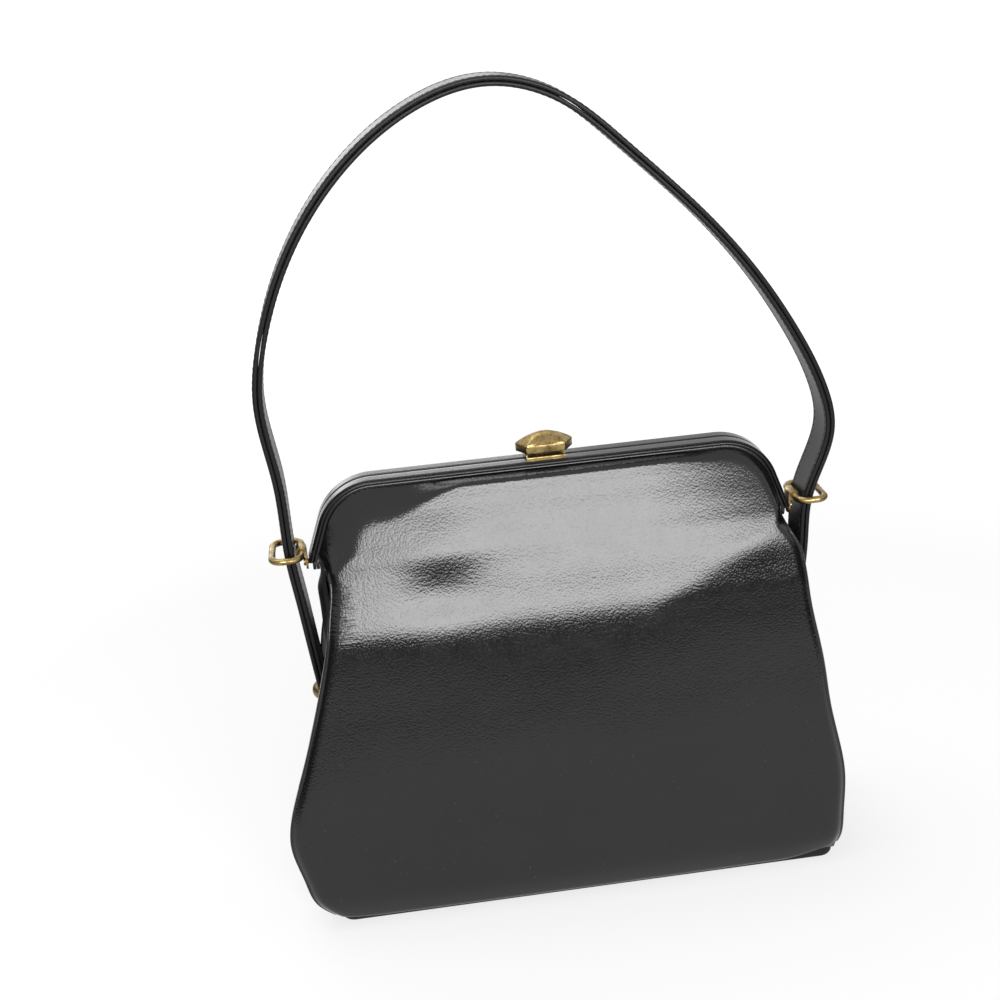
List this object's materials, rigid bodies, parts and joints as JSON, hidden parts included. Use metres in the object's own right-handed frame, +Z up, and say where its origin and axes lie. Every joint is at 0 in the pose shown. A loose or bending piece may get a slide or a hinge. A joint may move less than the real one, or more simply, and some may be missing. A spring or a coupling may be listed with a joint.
{
  "type": "frame handbag",
  "caption": "Small black leather handbag with a hinged leather-covered frame, brass lift clasp and one strap handle through brass rings.",
  "frame": {"origin": "centre of the base, on the surface that the bag stands on", "axes": "+X along the frame to the viewer's right, +Y from the front panel to the back panel, +Z up"},
  "size_m": [0.2546, 0.085, 0.3606],
  "materials": {
    "body_leather": "smooth polished black leather, semi-gloss",
    "frame_leather": "thin black leather stretched over the frame, semi-gloss",
    "strap_leather": "black leather, stitched along both edges",
    "lining": "black rayon lining, fine ribbed weave",
    "brass": "aged polished brass",
    "frame_steel": "black lacquer on steel",
    "spring_steel": "plain spring steel",
    "board": "grey-brown fibreboard"
  },
  "bodies": {
    "bag": {"front_panel_lower": "body_leather", "back_panel_lower": "body_leather", "left_gusset": "body_leather", "right_gusset": "body_leather", "base_panel": "body_leather", "base_board": "board", "body_lining": "lining", "left_hinge_pin": "brass", "left_ring_clip": "brass", "left_strap_end_top": "strap_leather", "left_strap_end_under": "strap_leather", "left_strap_rivet": "brass", "left_rivet_washer": "brass", "right_hinge_pin": "brass", "right_ring_clip": "brass", "right_strap_end_top": "strap_leather", "right_strap_end_under": "strap_leather", "right_strap_rivet": "brass", "right_rivet_washer": "brass"},
    "front_frame": {"front_frame_channel": "frame_steel", "front_frame_cover": "frame_leather", "front_panel_upper": "body_leather", "front_lining_upper": "lining", "clasp_keeper": "brass", "keeper_rivets": "brass"},
    "back_frame": {"back_frame_channel": "frame_steel", "back_frame_cover": "frame_leather", "back_panel_upper": "body_leather", "back_lining_upper": "lining", "clasp_base": "brass", "clasp_pin": "brass", "clasp_spring": "spring_steel", "clasp_base_rivets": "brass"},
    "clasp": {"clasp_cap": "brass"},
    "handle": {"handle_top_leather": "strap_leather", "handle_under_leather": "strap_leather"},
    "left_ring": {"left_strap_ring": "brass"},
    "right_ring": {"right_strap_ring": "brass"}
  },
  "joints": [
    {"name": "frame_open", "type": "hinge", "parent": "bag", "child": "front_frame", "pos_m": [0, 0, 0.163], "axis": [1, 0, 0], "range_deg": [0, 36]},
    {"name": "back_frame_open", "type": "hinge", "parent": "bag", "child": "back_frame", "pos_m": [0, 0, 0.163], "axis": [1, 0, 0], "range_deg": [-36, 0]},
    {"name": "clasp_lift", "type": "hinge", "parent": "back_frame", "child": "clasp", "pos_m": [0, 0.0032, 0.2022], "axis": [-1, 0, 0], "range_deg": [0, 35], "stiffness_Nm_per_rad": 0.02},
    {"name": "handle_swing", "type": "hinge", "parent": "bag", "child": "handle", "pos_m": [0, 0, 0.1825], "axis": [1, 0, 0], "range_deg": [-80, 80]},
    {"name": "left_ring_tilt", "type": "hinge", "parent": "bag", "child": "left_ring", "pos_m": [-0.10946, 0, 0.1685], "axis": [0, 1, 0], "range_deg": [-35, 5]},
    {"name": "right_ring_tilt", "type": "hinge", "parent": "bag", "child": "right_ring", "pos_m": [0.10946, 0, 0.1685], "axis": [0, -1, 0], "range_deg": [-35, 5]}
  ],
  "couplings": [
    {"joint": "back_frame_open", "follows": "frame_open", "ratio": -1}
  ]
}
